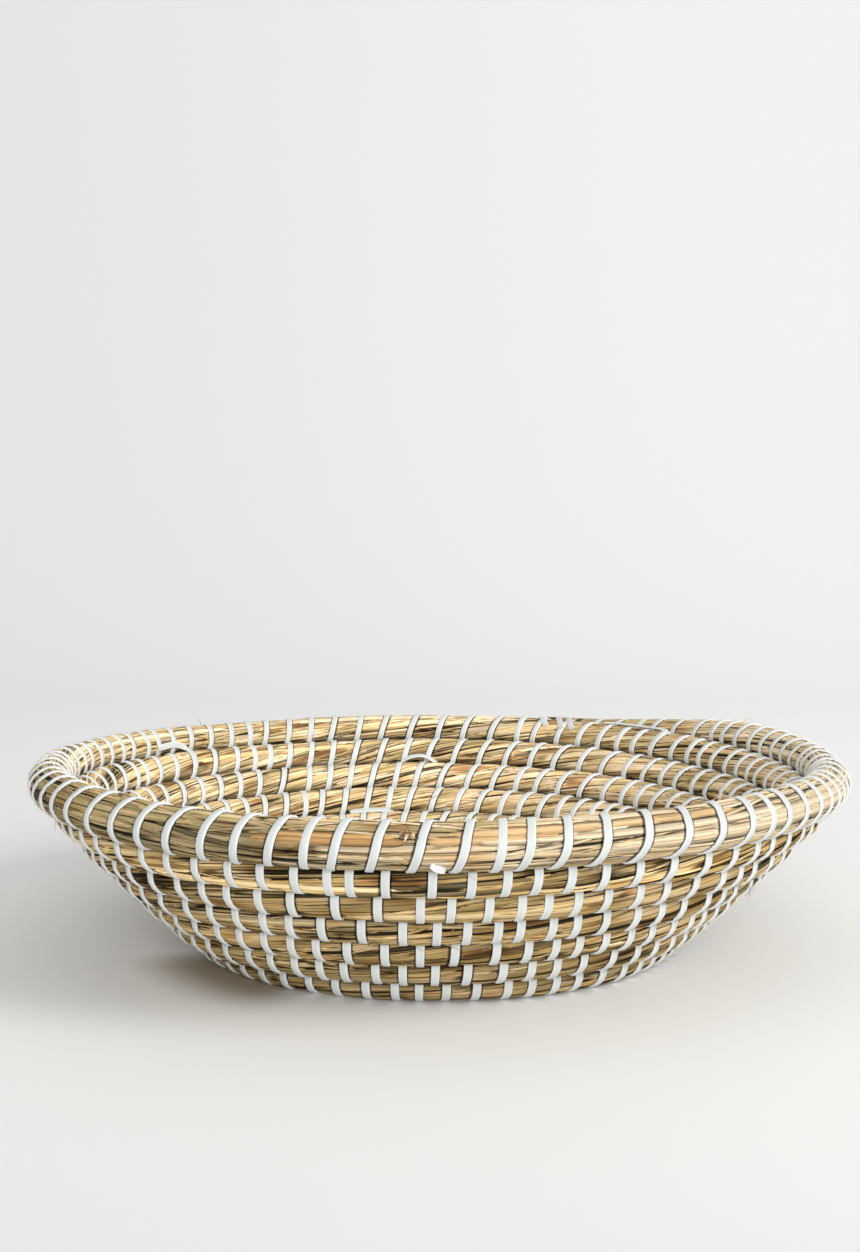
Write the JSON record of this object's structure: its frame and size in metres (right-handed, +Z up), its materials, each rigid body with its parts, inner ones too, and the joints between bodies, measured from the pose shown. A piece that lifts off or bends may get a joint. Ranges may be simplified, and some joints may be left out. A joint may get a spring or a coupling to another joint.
{
  "type": "coiled grass basket",
  "caption": "Shallow round open bowl, wound from a bundle of dry kans grass and lashed with flat white strip.",
  "frame": {"origin": "middle of the basket's footprint, at the level that it stands on", "axes": "+Z up along the bowl's axis, -Y towards the front, +X to the right seen from the front"},
  "size_m": [0.3504, 0.3452, 0.0854],
  "materials": {
    "grass": "dry straw-coloured grass stems, matt, laid along the winding, with olive and golden brown streaks",
    "strip": "flat white packing strip with a soft sheen"
  },
  "bodies": {
    "root": {"base_coil": "grass", "wall_coil": "grass", "rim_coil": "grass", "rim_lashing_back": "strip", "rim_lashing_left": "strip", "rim_lashing_right": "strip"}
  },
  "joints": []
}
